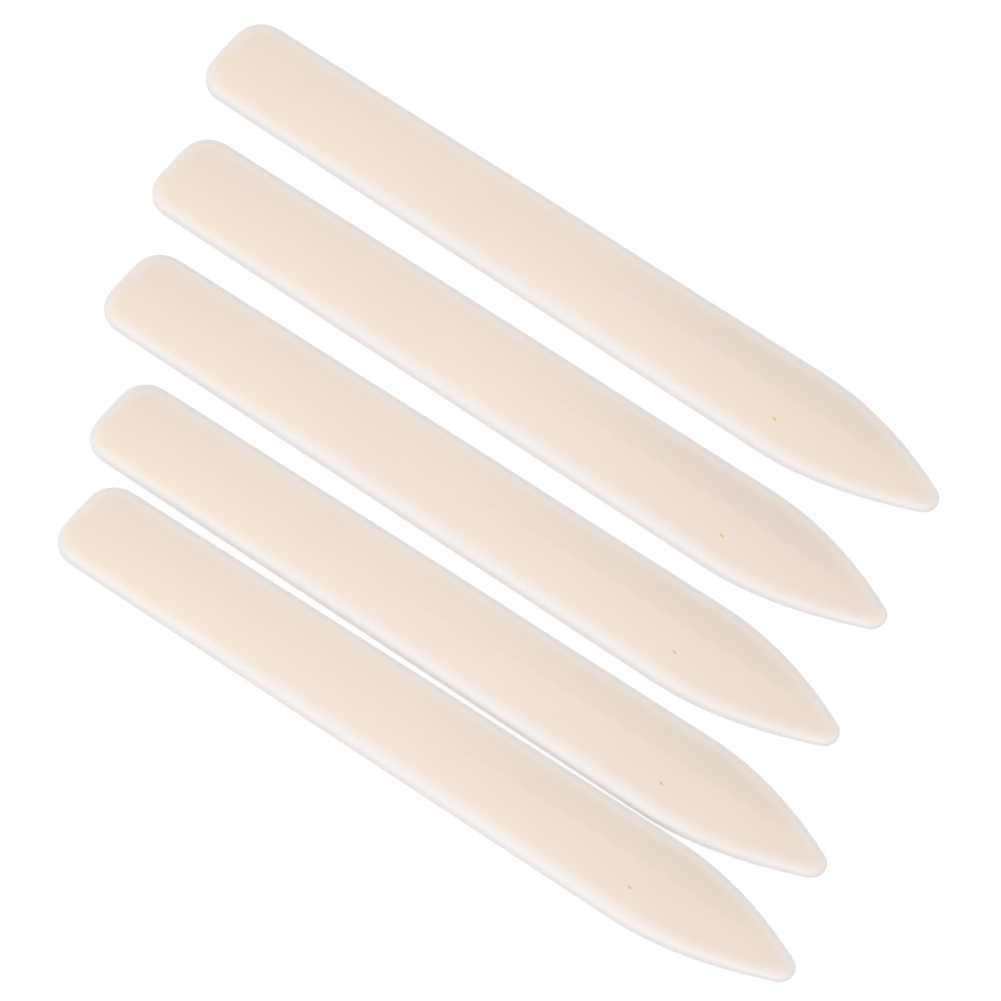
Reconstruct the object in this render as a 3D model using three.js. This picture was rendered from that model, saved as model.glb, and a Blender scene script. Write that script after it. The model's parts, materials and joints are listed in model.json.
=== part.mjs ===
// Five identical bone folders laid side by side: flat hand tools of polished bone that crease and
// smooth paper. Each is one solid piece with a blunt heel, nearly parallel sides, rounded edges and
// a curved point that thins to a soft nib.
//
// Millimetres. +X runs along the folders toward their points, +Y across them and +Z up. The origin
// is the centre of the middle folder's underside.

import * as THREE from "three";

// Outline of one folder seen from above, with its heel at x = 0 and its tip on the X axis.
const LENGTH = 156;
const HEEL_WIDTH = 17.9;
const HEEL_CORNER_RADIUS = 5.3;
const SHOULDER_WIDTH = 19.7; // the widest place, where the sides start to curve in to the point
const SHOULDER_X = 124.5;
const SHOULDER_REACH = 13.5; // how far the shoulder's curve keeps to the side before it turns in
const FLANK_REACH = 4.6; // how far the same curve keeps to the straight flank of the point
const FLANK_ANGLE = THREE.MathUtils.degToRad(23.1);
const NIB_RADIUS = 2.85;

// Thickness: the underside is flat, and the top slopes down from the shoulder to the nib.
const THICKNESS = 3;
const NIB_THICKNESS = 1.6;

// The edge all round: a broad rounding under the top face and a smaller one at the foot, both quarter
// ellipses in section, with an upright band between them. Depths reach in from the outline.
const TOP_ROUNDING = { depth: 2, height: 1.3 };
const FOOT_ROUNDING = { depth: 1.5, height: 0.8 };

// Where each folder's centre lies, from the far one to the near one. They are laid out by hand, so
// the steps between them are uneven.
const PLACES = [
  { x: -15.9, y: 49 },
  { x: -8.3, y: 24.2 },
  { x: 0, y: 0 },
  { x: 14.8, y: -22.9 },
  { x: 23.6, y: -43.2 },
];

// How finely round stretches are divided.
const CURVE_STEPS = 8;
const EDGE_STEPS = 4;

const RIGHT_ANGLE = Math.PI / 2;

// The +Y half of the outline, from the heel's corner round to the tip.
function halfOutline() {
  const corner = new THREE.EllipseCurve(
    HEEL_CORNER_RADIUS,
    HEEL_WIDTH / 2 - HEEL_CORNER_RADIUS,
    HEEL_CORNER_RADIUS,
    HEEL_CORNER_RADIUS,
    2 * RIGHT_ANGLE,
    RIGHT_ANGLE,
    true,
  );
  const nib = new THREE.EllipseCurve(
    LENGTH - NIB_RADIUS,
    0,
    NIB_RADIUS,
    NIB_RADIUS,
    RIGHT_ANGLE - FLANK_ANGLE,
    0,
    true,
  );
  const flankEnd = nib.getPoint(0);
  const shoulder = new THREE.CubicBezierCurve(
    new THREE.Vector2(SHOULDER_X, SHOULDER_WIDTH / 2),
    new THREE.Vector2(SHOULDER_X + SHOULDER_REACH, SHOULDER_WIDTH / 2),
    new THREE.Vector2(
      flankEnd.x - FLANK_REACH * Math.cos(FLANK_ANGLE),
      flankEnd.y + FLANK_REACH * Math.sin(FLANK_ANGLE),
    ),
    flankEnd,
  );
  return [
    ...corner.getPoints(CURVE_STEPS),
    ...shoulder.getPoints(CURVE_STEPS),
    ...nib.getPoints(CURVE_STEPS).slice(1),
  ];
}

// The whole outline, anticlockwise. Point k of the -Y half faces point length - 1 - k of the +Y half.
function wholeOutline() {
  const far = halfOutline();
  const near = far.map((point) => new THREE.Vector2(point.x, -point.y));
  return [...near, ...far.slice(0, -1).reverse()];
}

// The unit vector that points out of the shape, to the right of the way from one point to the next.
function outwardOf(from, to) {
  return new THREE.Vector2(to.y - from.y, from.x - to.x).normalize();
}

// The outline moved in by a distance.
function insetOutline(outline, distance) {
  return outline.map((point, i) => {
    const arriving = outwardOf(outline.at(i - 1), point);
    const leaving = outwardOf(point, outline[(i + 1) % outline.length]);
    const bisector = arriving.clone().add(leaving).normalize();
    return point.clone().addScaledVector(bisector, -distance / bisector.dot(arriving));
  });
}

function thicknessAt(x) {
  const along = THREE.MathUtils.clamp((x - SHOULDER_X) / (LENGTH - SHOULDER_X), 0, 1);
  return THREE.MathUtils.lerp(THICKNESS, NIB_THICKNESS, along * along);
}

// The edge in section, from the underside round to the top: each step's distance in from the
// outline, and its height as a share of the thickness.
function edgeSection() {
  const foot = [];
  const top = [];
  for (let step = 0; step <= EDGE_STEPS; step++) {
    const angle = (RIGHT_ANGLE * step) / EDGE_STEPS;
    foot.push({
      inset: FOOT_ROUNDING.depth * (1 - Math.sin(angle)),
      height: (FOOT_ROUNDING.height * (1 - Math.cos(angle))) / THICKNESS,
    });
    top.push({
      inset: TOP_ROUNDING.depth * (1 - Math.cos(angle)),
      height: 1 - (TOP_ROUNDING.height * (1 - Math.sin(angle))) / THICKNESS,
    });
  }
  return [...foot, ...top];
}

// One ring of points, as flat x, y, z numbers.
function ringPoints(outline, { inset, height }) {
  return insetOutline(outline, inset).flatMap(({ x, y }) => [x, y, height * thicknessAt(x)]);
}

// Triangles that join a ring to the one above it.
function bandFaces(count, first) {
  const faces = [];
  for (let i = 0; i < count; i++) {
    const a = first + i;
    const b = first + ((i + 1) % count);
    faces.push(a, b, b + count, a, b + count, a + count);
  }
  return faces;
}

// Triangles that close a ring, facing up, as rungs between its two mirrored halves.
function capFaces(count, first) {
  const faces = [];
  const tip = (count - 1) / 2;
  for (let k = 0; k < tip; k++) {
    const near = first + k;
    const far = first + count - 1 - k;
    faces.push(near, near + 1, far);
    if (k < tip - 1) faces.push(near + 1, far - 1, far);
  }
  return faces;
}

function folderGeometry() {
  const outline = wholeOutline();
  const section = edgeSection();
  const count = outline.length;
  const topRing = (section.length - 1) * count;
  const positions = section.flatMap((step) => ringPoints(outline, step));
  const bands = section.slice(1).flatMap((_, ring) => bandFaces(count, ring * count));
  const underside = capFaces(count, 0).reverse();
  const geometry = new THREE.BufferGeometry();
  geometry.setAttribute("position", new THREE.Float32BufferAttribute(positions, 3));
  geometry.setIndex([...underside, ...bands, ...capFaces(count, topRing)]);
  geometry.translate(-LENGTH / 2, 0, 0);
  geometry.computeVertexNormals();
  return geometry;
}

function boneMaterial() {
  return new THREE.MeshStandardMaterial({ color: 0xefe1d3, roughness: 0.3, metalness: 0 });
}

const set = new THREE.Group();
PLACES.forEach(({ x, y }, index) => {
  const folder = new THREE.Mesh(folderGeometry(), boneMaterial());
  folder.name = `bone_folder_${index + 1}`;
  folder.position.set(x, y, 0);
  set.add(folder);
});

export default set;
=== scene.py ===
"""Five loose bone folders lying side by side on a pale floor, in soft studio light.

The CAD model gives each folder's place and size. For each one this script builds a finer folder in
the same box, with a slightly domed top, and gives it a polished bone material. Lengths named here
are in millimetres, and MM turns them into Blender's metres. A folder's own frame has its heel toward
-X, its point toward +X, and its origin at the centre of its underside.
"""

import json
import math

import bmesh
import bpy
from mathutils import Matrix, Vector
from mathutils.geometry import interpolate_bezier


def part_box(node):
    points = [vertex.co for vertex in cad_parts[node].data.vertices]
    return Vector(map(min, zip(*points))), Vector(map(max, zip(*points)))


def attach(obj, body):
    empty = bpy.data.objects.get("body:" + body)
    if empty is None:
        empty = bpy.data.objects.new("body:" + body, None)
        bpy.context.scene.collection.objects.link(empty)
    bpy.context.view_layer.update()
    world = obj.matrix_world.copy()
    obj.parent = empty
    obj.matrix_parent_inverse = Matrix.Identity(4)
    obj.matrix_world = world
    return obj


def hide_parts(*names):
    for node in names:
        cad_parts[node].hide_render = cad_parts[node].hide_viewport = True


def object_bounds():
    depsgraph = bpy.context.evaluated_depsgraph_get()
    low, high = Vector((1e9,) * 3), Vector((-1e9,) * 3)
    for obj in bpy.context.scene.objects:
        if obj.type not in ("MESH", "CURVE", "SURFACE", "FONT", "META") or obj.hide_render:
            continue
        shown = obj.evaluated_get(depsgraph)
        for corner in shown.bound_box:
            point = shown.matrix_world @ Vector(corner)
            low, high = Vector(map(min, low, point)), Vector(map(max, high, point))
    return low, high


MM = 0.001

# The folder's outline, as the CAD part has it. Its length, width and thickness come from the frame.
HEEL_WIDTH = 17.9
HEEL_CORNER_RADIUS = 5.3
SHOULDER_X = 124.5  # from the heel
SHOULDER_REACH = 13.5
FLANK_REACH = 4.6
FLANK_ANGLE = math.radians(23.1)
NIB_RADIUS = 2.85
NIB_THICKNESS = 1.6

# The rounding under the top face and the one at the foot of the edge, with the upright side between
# them. Each is a quarter ellipse in section: its depth in from the outline, and its height.
TOP_ROUNDING = (2.0, 1.3)
FOOT_ROUNDING = (1.5, 0.8)

# The top face, which hand grinding leaves slightly domed. A soft lengthwise crease in the half toward
# +Y fades in around the middle of the folder and runs to the point, and the face slopes down past it.
CROWN_DROP = 0.6  # at the outline, below the middle line
CREASE_Y = 1.7
CREASE_START_X = 70  # from the heel, and so is the next
CREASE_FULL_X = 100
CREASE_SLOPE = math.radians(3.0)
CREASE_SOFTNESS = 0.5

# How finely the mesh is divided, before its subdivision modifier.
CORNER_STEPS = 8
SIDE_STEPS = 40
SHOULDER_STEPS = 16
NIB_STEPS = 8
EDGE_STEPS = 5
ACROSS_STEPS = 12

# The camera looks down the middle of the set with a long lens.
CAMERA_AZIMUTH = math.radians(37.73)
CAMERA_ELEVATION = math.radians(56.2)
CAMERA_DISTANCE = 8000 * MM
CAMERA_AIM = Vector((1.5, 4.22, 0)) * MM
VIEW_WIDTH = 173.18 * MM
SENSOR_WIDTH = 36.0


# ---------------------------------------------------------------------------------------------
# The folder's shape
# ---------------------------------------------------------------------------------------------


def even_step(value, start, end):
    """0 before start, 1 after end, and an even rise between them."""
    return min(1.0, max(0.0, (value - start) / (end - start)))


def smooth_step(value, start, end):
    """0 before start, 1 after end, and a smooth rise between them."""
    share = even_step(value, start, end)
    return share * share * (3 - 2 * share)


def arc_points(centre, radius, start, end, steps):
    """Points on an arc about centre, from the start angle to the end angle."""
    angles = [start + (end - start) * i / steps for i in range(steps + 1)]
    return [Vector((centre[0] + radius * math.cos(a), centre[1] + radius * math.sin(a))) for a in angles]


def half_outline(length, width):
    """The +Y half of the outline, from the heel's corner round to the tip, with the heel at x = 0."""
    corner_centre = (HEEL_CORNER_RADIUS, HEEL_WIDTH / 2 - HEEL_CORNER_RADIUS)
    corner = arc_points(corner_centre, HEEL_CORNER_RADIUS, math.pi, math.pi / 2, CORNER_STEPS)
    shoulder_start = Vector((SHOULDER_X, width / 2))
    side = [corner[-1].lerp(shoulder_start, i / SIDE_STEPS) for i in range(1, SIDE_STEPS)]
    nib = arc_points((length - NIB_RADIUS, 0), NIB_RADIUS, math.pi / 2 - FLANK_ANGLE, 0, NIB_STEPS)
    along_flank = Vector((math.cos(FLANK_ANGLE), -math.sin(FLANK_ANGLE)))
    shoulder = interpolate_bezier(
        shoulder_start,
        shoulder_start + Vector((SHOULDER_REACH, 0)),
        nib[0] - along_flank * FLANK_REACH,
        nib[0],
        SHOULDER_STEPS + 1,
    )
    return corner + side + [Vector(p[:2]) for p in shoulder] + nib[1:]


def whole_outline(length, width):
    """The closed outline, anticlockwise: the -Y half to the tip, the +Y half back, then the heel."""
    far = half_outline(length, width)
    near = [Vector((p.x, -p.y)) for p in far]
    heel = [far[0].lerp(near[0], i / ACROSS_STEPS) for i in range(1, ACROSS_STEPS)]
    return near + far[-2::-1] + heel


def outward(start, end):
    """The unit vector to the right of the way from start to end."""
    return Vector((end.y - start.y, start.x - end.x)).normalized()


def inset(outline, distance):
    """The outline moved in by a distance."""
    moved = []
    for i, point in enumerate(outline):
        arriving = outward(outline[i - 1], point)
        leaving = outward(point, outline[(i + 1) % len(outline)])
        bisector = (arriving + leaving).normalized()
        moved.append(point - bisector * (distance / bisector.dot(arriving)))
    return moved


def face_height(x, y, length, width, thickness):
    """The top face's height above the underside."""
    past_shoulder = even_step(x, SHOULDER_X, length)
    height = thickness + (NIB_THICKNESS - thickness) * past_shoulder**2
    height -= CROWN_DROP * (height / thickness) * (2 * y / width) ** 2
    past_crease = y - CREASE_Y
    softened = (past_crease + math.hypot(past_crease, CREASE_SOFTNESS)) / 2  # always above 0
    slope = math.tan(CREASE_SLOPE) * smooth_step(x, CREASE_START_X, CREASE_FULL_X)
    return height - slope * softened * (height / thickness)


def edge_section(thickness):
    """The edge from the underside up: each step's distance in from the outline, and its height as a
    share of the thickness."""
    foot_depth, foot_height = FOOT_ROUNDING
    top_depth, top_height = TOP_ROUNDING
    foot = []
    top = []
    for step in range(EDGE_STEPS + 1):
        angle = math.pi / 2 * step / EDGE_STEPS
        rise = foot_height * (1 - math.cos(angle))
        drop = top_height * (1 - math.sin(angle))
        foot.append((foot_depth * (1 - math.sin(angle)), rise / thickness))
        top.append((top_depth * (1 - math.cos(angle)), 1 - drop / thickness))
    return foot + top


def cap_rows(bm, ring, half_count, height_at):
    """Rows of vertices across a flat face, from the heel to the tip. Each row starts and ends on the
    face's ring, and height_at(x, y) places the vertices between."""
    across_heel = ring[:-ACROSS_STEPS:-1]  # the heel's points, from -Y to +Y
    last = len(ring) - len(across_heel) - 1
    rows = [[ring[0], *across_heel, ring[last]]]
    for k in range(1, half_count - 1):
        near, far = ring[k], ring[last - k]
        between = [near.co.lerp(far.co, i / ACROSS_STEPS) for i in range(1, ACROSS_STEPS)]
        row = [bm.verts.new((p.x, p.y, height_at(p.x, p.y))) for p in between]
        rows.append([near, *row, far])
    rows.append([ring[half_count - 1]] * (ACROSS_STEPS + 1))
    return rows


def fill_rows(bm, rows, upward):
    """Faces between neighbouring rows. The last row is one vertex, so the faces there are triangles."""
    for row, following in zip(rows, rows[1:]):
        for i in range(ACROSS_STEPS):
            corners = [row[i], following[i], following[i + 1], row[i + 1]]
            distinct = list(dict.fromkeys(corners))
            bm.faces.new(distinct if upward else distinct[::-1])


def folder_bmesh(length, width, thickness):
    """One folder in millimetres, with its heel at x = 0."""
    bm = bmesh.new()
    outline = whole_outline(length, width)
    half_count = len(half_outline(length, width))

    def height_at(x, y):
        return face_height(x, y, length, width, thickness)

    rings = []
    for distance, share in edge_section(thickness):
        points = inset(outline, distance)
        rings.append([bm.verts.new((p.x, p.y, share * height_at(p.x, p.y))) for p in points])
    for lower, upper in zip(rings, rings[1:]):
        for i in range(len(outline)):
            following = (i + 1) % len(outline)
            bm.faces.new((lower[i], lower[following], upper[following], upper[i]))
    fill_rows(bm, cap_rows(bm, rings[-1], half_count, height_at), upward=True)
    fill_rows(bm, cap_rows(bm, rings[0], half_count, lambda x, y: 0.0), upward=False)
    return bm


def rim_distances(mesh, length, width):
    """How far each vertex is from the outline's nearest point, seen from above, in millimetres."""
    outline = whole_outline(length, width)
    distances = []
    for vertex in mesh.vertices:
        place = Vector((vertex.co.x / MM + length / 2, vertex.co.y / MM))
        distances.append(min((place - point).length for point in outline))
    return distances


def build_folder(node, material):
    """A folder that fills the CAD node's box, with its origin at the centre of its underside."""
    low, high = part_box(node)
    length, width, thickness = (high - low) / MM
    bm = folder_bmesh(length, width, thickness)
    bmesh.ops.translate(bm, verts=bm.verts, vec=(-length / 2, 0, 0))
    bmesh.ops.scale(bm, verts=bm.verts, vec=(MM, MM, MM))
    mesh = bpy.data.meshes.new(f"{node}_polished")
    bm.to_mesh(mesh)
    bm.free()
    for polygon in mesh.polygons:
        polygon.use_smooth = True
    rim = mesh.attributes.new("rim_mm", "FLOAT", "POINT")
    rim.data.foreach_set("value", rim_distances(mesh, length, width))
    mesh.materials.append(material)
    folder = bpy.data.objects.new(mesh.name, mesh)
    bpy.context.scene.collection.objects.link(folder)
    folder.location = ((low.x + high.x) / 2, (low.y + high.y) / 2, low.z)
    subdivision = folder.modifiers.new("finer", "SUBSURF")
    subdivision.levels = 1
    subdivision.render_levels = 1
    return folder


# ---------------------------------------------------------------------------------------------
# The bone material
# ---------------------------------------------------------------------------------------------

# Colours are linear red, green and blue, with an alpha of 1. Names that end in X or Y are places in
# the folder's own frame. A pair of values is where a change starts and where it ends.


class Graph:
    """Adds nodes to a material. Each method returns an output to wire into the next node."""

    def __init__(self, tree):
        self.tree = tree

    def node(self, kind, inputs=None, **settings):
        made = self.tree.nodes.new(kind)
        for name, value in settings.items():
            setattr(made, name, value)
        for key, value in (inputs or {}).items():
            self.fill(made.inputs[key], value)
        return made

    def fill(self, socket, value):
        """Wires an output into a socket, or gives the socket a plain value."""
        if isinstance(value, bpy.types.NodeSocket):
            self.tree.links.new(value, socket)
        else:
            socket.default_value = value

    def math(self, operation, a, b=0.0):
        return self.node("ShaderNodeMath", {0: a, 1: b}, operation=operation).outputs[0]

    def vector(self, operation, a, b):
        return self.node("ShaderNodeVectorMath", {0: a, 1: b}, operation=operation).outputs["Vector"]

    def length(self, vector):
        return self.node("ShaderNodeVectorMath", {0: vector}, operation="LENGTH").outputs["Value"]

    def scale(self, vector, factor):
        made = self.node("ShaderNodeVectorMath", {0: vector, "Scale": factor}, operation="SCALE")
        return made.outputs["Vector"]

    def ramp(self, value, start, end, low=0.0, high=1.0):
        """low before start, high after end, and smooth between them."""
        inputs = {"Value": value, "From Min": start, "From Max": end, "To Min": low, "To Max": high}
        return self.node("ShaderNodeMapRange", inputs, interpolation_type="SMOOTHSTEP").outputs[0]

    def noise(self, place, size, detail, roughness=0.5):
        """Noise between 0 and 1 whose features have a size along each axis."""
        scaled = self.vector("DIVIDE", place, size)
        inputs = {"Vector": scaled, "Scale": 1.0, "Detail": detail, "Roughness": roughness}
        return self.node("ShaderNodeTexNoise", inputs).outputs["Fac"]

    def mix(self, share, a, b):
        """Colour a, with a share of it replaced by colour b."""
        inputs = {0: share, 6: a, 7: b}  # 6, 7 and the output, 2, are the node's colour sockets
        return self.node("ShaderNodeMix", inputs, data_type="RGBA").outputs[2]


# Three noises. Each has the size of its features in millimetres along X, Y and Z, and the range of
# its value, out of 0 to 1, over which it takes effect. Bone's grain and scratches run lengthwise.
CLOUD_SIZE = (38.0, 12.0, 12.0)
CLOUD_RANGE = (0.35, 0.65)
GRAIN_SIZE = (9.0, 0.35, 0.35)
GRAIN_RANGE = (0.3, 0.8)
SCRATCH_SIZE = (6.0, 0.06, 0.06)
SCRATCH_RANGE = (0.3, 0.7)
FOLDER_SHIFT = 331.0  # moves the noise from one folder to the next, so no two are alike

# The bone's own colours.
CREAM = (0.682, 0.586, 0.52, 1)
WARM_CREAM = (0.69, 0.598, 0.515, 1)
COOL_CREAM = (0.652, 0.562, 0.505, 1)
GRAIN_SHARE = 0.25  # of the cool cream, where the grain is strongest
HEEL_YELLOW = (0.685, 0.60, 0.505, 1)
HEEL_PATCH_X = (-45.0, -20.0)  # the yellow patch fades out over this stretch and the next
HEEL_PATCH_Y = (-4.0, 3.0)
HEEL_PATCH_SHARE = 0.6


def grown_colour(graph, clouds, grain, x, y):
    """Warm cream with soft clouds, faint cool grain and a yellower patch at the heel."""
    colour = graph.mix(graph.ramp(clouds, *CLOUD_RANGE), CREAM, WARM_CREAM)
    colour = graph.mix(graph.ramp(grain, *GRAIN_RANGE, 0.0, GRAIN_SHARE), colour, COOL_CREAM)
    patch_along = graph.ramp(x, *HEEL_PATCH_X, HEEL_PATCH_SHARE, 0.0)
    patch_across = graph.ramp(y, *HEEL_PATCH_Y, 1.0, 0.0)
    return graph.mix(graph.math("MULTIPLY", patch_along, patch_across), colour, HEEL_YELLOW)


# Painted shade past the crease, where the top face slopes away from the light, and on a fine line where
# the crease begins. The crease's line bends from near the middle, at the first y, to the second y, and
# is straight from there.
CREASE_LINE_X = (-12.0, 20.0)
CREASE_LINE_Y = (0.2, 1.6)
CREASE_LINE_WIDTH = (-0.15, 0.2)  # the change's start and end across the line
CREASE_PAINTED_SHADE = 0.024
CREASE_FADE_IN_X = (-10.0, 35.0)
CREASE_FADE_OUT_X = (60.0, 72.0)
HAIRLINE_PAINTED_SHADE = 0.014
HAIRLINE_REACH = 0.7  # to each side of its middle
HAIRLINE_FADE_IN_X = (-16.0, -8.0)
HAIRLINE_FADE_OUT_X = (10.0, 45.0)


def crease_painted_shade(graph, x, y):
    """How much painted shade darkens the bone past the crease, and on the fine line where the crease
    begins.
    """
    offset = graph.math("SUBTRACT", y, graph.ramp(x, *CREASE_LINE_X, *CREASE_LINE_Y))
    beyond = graph.ramp(offset, *CREASE_LINE_WIDTH)
    fade_in = graph.ramp(x, *CREASE_FADE_IN_X, 0.0, CREASE_PAINTED_SHADE)
    fade_out = graph.ramp(x, *CREASE_FADE_OUT_X, 1.0, 0.0)
    zone = graph.math("MULTIPLY", beyond, graph.math("MULTIPLY", fade_in, fade_out))
    on_line = graph.ramp(graph.math("ABSOLUTE", offset), 0.0, HAIRLINE_REACH, HAIRLINE_PAINTED_SHADE, 0.0)
    line_in = graph.ramp(x, *HAIRLINE_FADE_IN_X)
    line_out = graph.ramp(x, *HAIRLINE_FADE_OUT_X, 1.0, 0.0)
    hairline = graph.math("MULTIPLY", on_line, graph.math("MULTIPLY", line_in, line_out))
    return graph.math("ADD", zone, hairline)


# Painted light and shade, as a factor on the bone's colour. It is lighter toward -Y, the near side,
# which faces the light, darker toward +Y and toward the point, where the top face tilts away from the
# light, and a little darker at the heel's end.
PAINTED_SHADE_ACROSS = 0.005  # per millimetre
POINT_PAINTED_SHADE_X = (-10.0, 65.0)
POINT_PAINTED_SHADE = 0.957
HEEL_TONE_X = (-78.0, -50.0)
HEEL_TONE = 0.985


def painted_shading(graph, x, y):
    """The factor of painted light and shade that lightens or darkens the bone's colour."""
    across = graph.math("SUBTRACT", 1.0, graph.math("MULTIPLY", y, PAINTED_SHADE_ACROSS))
    to_point = graph.ramp(x, *POINT_PAINTED_SHADE_X, 1.0, POINT_PAINTED_SHADE)
    to_heel = graph.ramp(x, *HEEL_TONE_X, HEEL_TONE, 1.0)
    smooth = graph.math("MULTIPLY", across, graph.math("MULTIPLY", to_point, to_heel))
    return graph.math("SUBTRACT", smooth, crease_painted_shade(graph, x, y))


# The pale band round the top face is partly edge wear and partly a painted highlight with the painted
# glow of light through the thin edge. It is stronger on the near side, which faces the light, and the
# pinker side lies below it. The near side is the one toward -Y, where the band is narrower at the heel
# and fainter at the point.
RIM_WHITE = (0.68, 0.65, 0.63, 1)
SIDE_PINK = (0.695, 0.662, 0.653, 1)
SIDE_FADE = (0.1, 0.9)  # in from the outline
WEAR_AND_SHEEN_FADE = (0.12, 1.0)  # in from the outline, as shares of the band's width
WEAR_AND_SHEEN_SIDES_Y = (-5.0, 5.0)  # where the near side's band turns into the far side's
WEAR_AND_SHEEN_NEAR_WIDTH = 3.4
WEAR_AND_SHEEN_FAR_WIDTH = 3.9
WEAR_AND_SHEEN_FAR_STRENGTH = 0.7
# Painted light: the far band is lifted a little where its rounding tilts away from the light.
WEAR_AND_SHEEN_FAR_TONE = 1.01  # a factor on the band's colour
WEAR_AND_SHEEN_HEEL_X = (-62.0, -22.0)
WEAR_AND_SHEEN_HEEL_NARROWING = 0.58  # a factor on the near side's width
WEAR_AND_SHEEN_POINT_X = (38.0, 66.0)
WEAR_AND_SHEEN_POINT_NARROWING = 0.85  # a factor on both sides' width
WEAR_AND_SHEEN_POINT_STRENGTH = 0.55  # on the near side


def wear_and_sheen_colour(graph, colour, x, y, rim):
    """The colour with its pale band, part edge wear and part painted highlight and glow, and the pinker
    side below it.
    """
    near_width = graph.ramp(x, *WEAR_AND_SHEEN_HEEL_X, WEAR_AND_SHEEN_HEEL_NARROWING * WEAR_AND_SHEEN_NEAR_WIDTH, WEAR_AND_SHEEN_NEAR_WIDTH)
    side_width = graph.ramp(y, *WEAR_AND_SHEEN_SIDES_Y, near_width, WEAR_AND_SHEEN_FAR_WIDTH)
    narrowing = graph.ramp(x, *WEAR_AND_SHEEN_POINT_X, 1.0, WEAR_AND_SHEEN_POINT_NARROWING)
    width = graph.math("MULTIPLY", side_width, narrowing)
    wear_and_sheen = graph.ramp(graph.math("DIVIDE", rim, width), *WEAR_AND_SHEEN_FADE, 1.0, 0.0)
    near_strength = graph.ramp(x, *WEAR_AND_SHEEN_POINT_X, 1.0, WEAR_AND_SHEEN_POINT_STRENGTH)
    strength = graph.ramp(y, *WEAR_AND_SHEEN_SIDES_Y, near_strength, WEAR_AND_SHEEN_FAR_STRENGTH)
    pale = graph.scale(RIM_WHITE[:3], graph.ramp(y, *WEAR_AND_SHEEN_SIDES_Y, 1.0, WEAR_AND_SHEEN_FAR_TONE))
    colour = graph.mix(graph.math("MULTIPLY", wear_and_sheen, strength), colour, pale)
    return graph.mix(graph.ramp(rim, *SIDE_FADE, 1.0, 0.0), colour, SIDE_PINK)


# Pores in the top face: x and y in the folder's own frame, radius of the yellow halo, and strength.
# Each has a dark slit inside its halo, turned a little off the grain.
PORES = (
    (45.7, -3.85, 1.05, 0.85),
    (31.8, 4.5, 0.45, 0.15),
    (66.4, -3.0, 0.4, 0.25),
    (71.6, -0.3, 0.5, 0.2),
    (-59.7, 4.7, 0.4, 0.2),
)
PORE_HALO = (0.70, 0.61, 0.43, 1)
PORE_BROWN = (0.43, 0.34, 0.21, 1)
PORE_HEIGHT = 2.6  # about the top face's height where the pores are
PORE_REACH = 2.2  # how far above and below that a pore shows, which leaves the underside without
SLIT_SIZE = (0.62, 0.26, 1.0)  # as shares of the halo's
SLIT_TURN = math.radians(16.0)
HALO_FADE = (0.2, 1.0)  # as shares of the halo's radius
SLIT_FADE = (0.2, 1.2)  # as shares of the slit's size


def pore_shares(graph, place, pore):
    """The shares of one pore's halo and of its slit in the colour."""
    x, y, radius, strength = pore
    offset = graph.vector("SUBTRACT", place, (x, y, PORE_HEIGHT))
    scaled = graph.vector("DIVIDE", offset, (radius, radius, PORE_REACH))
    turning = {"Vector": scaled, "Angle": SLIT_TURN}
    turned = graph.node("ShaderNodeVectorRotate", turning, rotation_type="Z_AXIS").outputs[0]
    narrowed = graph.vector("DIVIDE", turned, SLIT_SIZE)
    halo = graph.ramp(graph.length(scaled), *HALO_FADE, strength, 0.0)
    slit = graph.ramp(graph.length(narrowed), *SLIT_FADE, strength, 0.0)
    return halo, slit


# The roughness between scratches and on them, and how much less it is at the edges.
ROUGHNESS = (0.36, 0.44)
EDGE_ROUGHNESS_LOSS = 0.04
EDGE_POLISH_WIDTH = 2.0


def polish(graph, scratches, rim):
    """The roughness: a soft shine, glossier at the edges and duller where it is scratched."""
    scratched = graph.ramp(scratches, *SCRATCH_RANGE, *ROUGHNESS)
    smoother = graph.ramp(rim, 0.0, EDGE_POLISH_WIDTH, EDGE_ROUGHNESS_LOSS, 0.0)
    return graph.math("SUBTRACT", scratched, smoother)


# The bump's heights and the pores' depth, each as a factor on BUMP_DISTANCE.
GRAIN_BUMP = 0.4
SCRATCH_BUMP = 0.1
PORE_DENT = 3.0
BUMP_DISTANCE = 0.02
BUMP_STRENGTH = 0.25


def relief(graph, grain, scratches, dents):
    """The normals that grain, scratches and pores give the surface."""
    fine = graph.math("MULTIPLY", scratches, SCRATCH_BUMP)
    height = graph.math("ADD", graph.math("MULTIPLY", grain, GRAIN_BUMP), fine)
    height = graph.math("SUBTRACT", height, graph.math("MULTIPLY", dents, PORE_DENT))
    inputs = {"Height": height, "Strength": BUMP_STRENGTH, "Distance": BUMP_DISTANCE * MM}
    return graph.node("ShaderNodeBump", inputs).outputs["Normal"]


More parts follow.
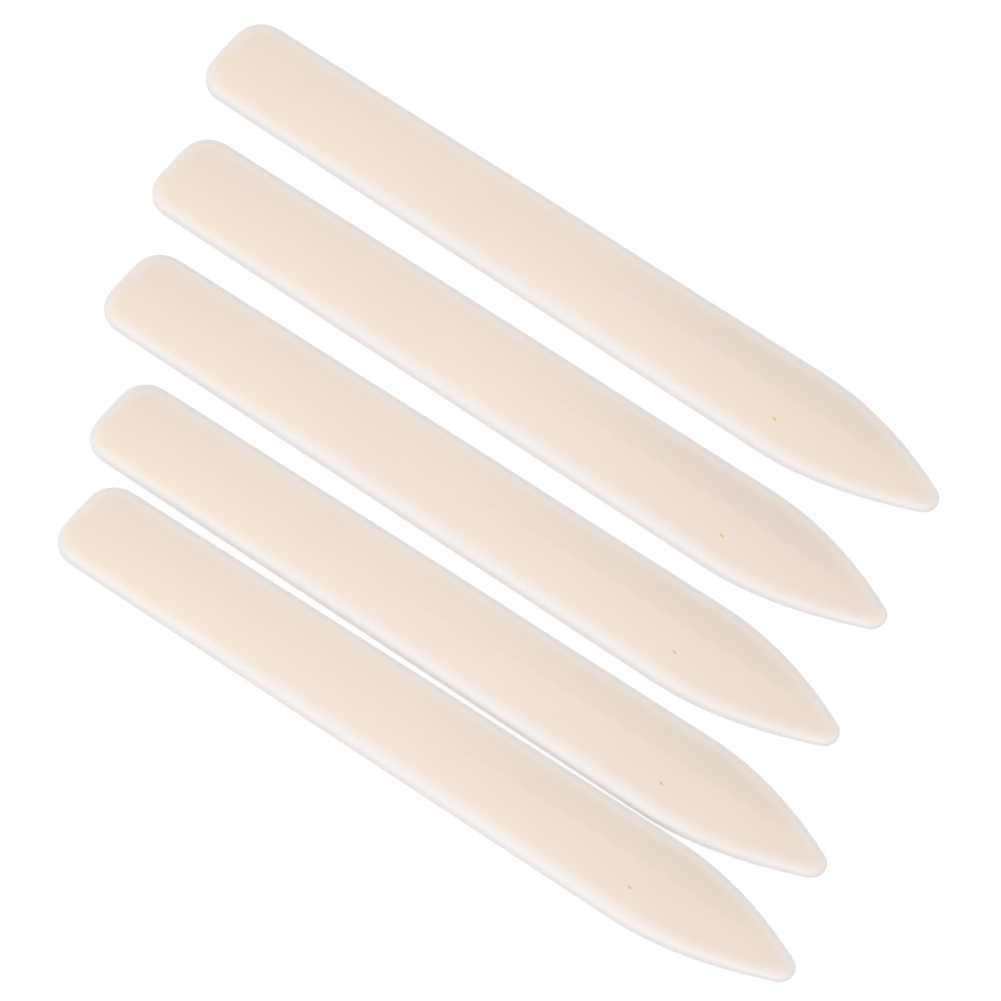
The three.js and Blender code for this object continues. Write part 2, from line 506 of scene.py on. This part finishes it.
def bone_material():
    """Polished bone: warm cream with faint lengthwise grain, pale edges that are part wear and part
    painted highlight, painted shade toward +Y, the point and past the crease, and a few pores.
    """
    material = bpy.data.materials.new("polished_bone")
    material.use_nodes = True
    material.node_tree.nodes.clear()
    graph = Graph(material.node_tree)

    local = graph.node("ShaderNodeTexCoord").outputs["Object"]
    place = graph.scale(local, 1 / MM)
    x, y, _ = graph.node("ShaderNodeSeparateXYZ", {0: place}).outputs
    rim = graph.node("ShaderNodeAttribute", attribute_name="rim_mm").outputs["Fac"]
    index = graph.node("ShaderNodeObjectInfo").outputs["Object Index"]
    shift = graph.math("MULTIPLY", index, FOLDER_SHIFT)
    varied = graph.vector("ADD", place, graph.node("ShaderNodeCombineXYZ", {0: shift}).outputs[0])

    clouds = graph.noise(varied, CLOUD_SIZE, detail=2.0)
    grain = graph.noise(varied, GRAIN_SIZE, detail=4.0, roughness=0.6)
    scratches = graph.noise(varied, SCRATCH_SIZE, detail=2.0)

    colour = grown_colour(graph, clouds, grain, x, y)
    # Painted light and shade on the top face, as a factor on the colour.
    colour = graph.scale(colour, painted_shading(graph, x, y))
    # The pale band, part edge wear and part painted highlight and glow, and the pinker side.
    colour = wear_and_sheen_colour(graph, colour, x, y, rim)
    dents = 0.0
    for pore in PORES:
        halo, slit = pore_shares(graph, place, pore)
        colour = graph.mix(halo, colour, PORE_HALO)
        colour = graph.mix(slit, colour, PORE_BROWN)
        dents = graph.math("MAXIMUM", dents, slit)

    looks = {
        "Base Color": colour,
        "Roughness": polish(graph, scratches, rim),
        "Normal": relief(graph, grain, scratches, dents),
        "IOR": 1.54,
        "Subsurface Weight": 0.35,
        "Subsurface Radius": (1.0, 0.75, 0.55),
        "Subsurface Scale": 1.5 * MM,
        "Coat Weight": 0.15,
        "Coat Roughness": 0.12,
    }
    surface = graph.node("ShaderNodeBsdfPrincipled", looks).outputs["BSDF"]
    graph.node("ShaderNodeOutputMaterial", {"Surface": surface})
    return material


# ---------------------------------------------------------------------------------------------
# The stage
# ---------------------------------------------------------------------------------------------

PLAIN_WHITE = (1, 1, 1, 1)
FLOOR_SIDE = 12000 * MM
FLOOR_GLOW = 0.85  # the share of the floor's white that is its own glow

# The strength of the surroundings' light at the horizon, what it gains overhead and on the near
# side, and what the camera sees instead.
WORLD_HORIZON = 0.5
WORLD_OVERHEAD_GAIN = 0.95
WORLD_NEAR_GAIN = 0.14
WORLD_SEEN = 1.0

# A large square softbox above the near side.
SOFTBOX_DIRECTION = Vector((-0.1, -0.6, 0.8)).normalized()
SOFTBOX_DISTANCE = 1200 * MM
SOFTBOX_SIDE = 1200 * MM
SOFTBOX_POWER = 3.2


def floor_material():
    """A white floor with a glow of its own, so the shadows on it stay faint."""
    material = bpy.data.materials.new("floor_white")
    material.use_nodes = True
    material.node_tree.nodes.clear()
    graph = Graph(material.node_tree)
    lit = graph.node("ShaderNodeBsdfDiffuse", {"Color": PLAIN_WHITE}).outputs["BSDF"]
    glow = graph.node("ShaderNodeEmission", {"Color": PLAIN_WHITE}).outputs["Emission"]
    mixed = graph.node("ShaderNodeMixShader", {0: FLOOR_GLOW, 1: lit, 2: glow}).outputs[0]
    graph.node("ShaderNodeOutputMaterial", {"Surface": mixed})
    return material


def add_floor(z):
    """A wide floor at height z."""
    mesh = bpy.data.meshes.new("floor")
    half = FLOOR_SIDE / 2
    corners = [(-half, -half, z), (half, -half, z), (half, half, z), (-half, half, z)]
    mesh.from_pydata(corners, [], [(0, 1, 2, 3)])
    mesh.materials.append(floor_material())
    floor = bpy.data.objects.new("floor", mesh)
    bpy.context.scene.collection.objects.link(floor)


def add_world():
    """Soft white surroundings, brighter toward the near side. The camera sees them as plain white."""
    world = bpy.data.worlds.new("studio")
    world.use_nodes = True
    world.node_tree.nodes.clear()
    graph = Graph(world.node_tree)
    direction = graph.node("ShaderNodeTexCoord").outputs["Generated"]
    gains = (0, -WORLD_NEAR_GAIN, WORLD_OVERHEAD_GAIN)
    gain = graph.node("ShaderNodeVectorMath", {0: direction, 1: gains}, operation="DOT_PRODUCT")
    gradient = graph.math("ADD", gain.outputs["Value"], WORLD_HORIZON)
    seen = graph.node("ShaderNodeLightPath").outputs["Is Camera Ray"]
    strength = graph.node("ShaderNodeMix", {0: seen, 2: gradient, 3: WORLD_SEEN}).outputs[0]
    background = graph.node("ShaderNodeBackground", {"Color": PLAIN_WHITE, "Strength": strength})
    graph.node("ShaderNodeOutputWorld", {"Surface": background.outputs["Background"]})
    bpy.context.scene.world = world


def add_softbox():
    """A softbox that faces the middle of the set. The camera can't see it."""
    light = bpy.data.lights.new("near_softbox", "AREA")
    light.shape = "SQUARE"
    light.size = SOFTBOX_SIDE
    light.energy = SOFTBOX_POWER
    lamp = bpy.data.objects.new("near_softbox", light)
    lamp.location = SOFTBOX_DIRECTION * SOFTBOX_DISTANCE
    lamp.rotation_mode = "QUATERNION"
    lamp.rotation_quaternion = SOFTBOX_DIRECTION.to_track_quat("Z", "Y")
    lamp.visible_camera = False
    bpy.context.scene.collection.objects.link(lamp)


def add_camera():
    """A camera that looks down at the set from in front and to its right."""
    level = math.cos(CAMERA_ELEVATION)
    rise = math.sin(CAMERA_ELEVATION)
    back = Vector((math.sin(CAMERA_AZIMUTH) * level, -math.cos(CAMERA_AZIMUTH) * level, rise))
    lens = bpy.data.cameras.new("camera")
    lens.sensor_width = SENSOR_WIDTH
    lens.lens = SENSOR_WIDTH * CAMERA_DISTANCE / VIEW_WIDTH
    lens.clip_end = 2 * CAMERA_DISTANCE
    camera = bpy.data.objects.new("camera", lens)
    camera.location = CAMERA_AIM + back * CAMERA_DISTANCE
    camera.rotation_mode = "QUATERNION"
    camera.rotation_quaternion = back.to_track_quat("Z", "Y")
    bpy.context.scene.collection.objects.link(camera)
    bpy.context.scene.camera = camera


# ---------------------------------------------------------------------------------------------
# The scene
# ---------------------------------------------------------------------------------------------

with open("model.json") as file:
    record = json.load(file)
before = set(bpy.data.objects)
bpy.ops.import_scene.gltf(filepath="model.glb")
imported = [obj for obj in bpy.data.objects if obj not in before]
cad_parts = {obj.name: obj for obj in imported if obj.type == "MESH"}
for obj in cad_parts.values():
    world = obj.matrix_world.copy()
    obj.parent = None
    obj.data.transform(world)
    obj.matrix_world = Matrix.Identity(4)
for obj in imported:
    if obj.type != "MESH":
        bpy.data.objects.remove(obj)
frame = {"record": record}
cad_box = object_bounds()

bone = bone_material()
for number, (body, members) in enumerate(frame["record"]["behaviour"]["bodies"].items()):
    for member in members:
        piece = build_folder(member, bone)
        piece.pass_index = number
        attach(piece, body)
        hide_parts(member)

add_floor(cad_box[0].z)
add_world()
add_softbox()
add_camera()
bpy.context.scene.view_settings.view_transform = "Standard"
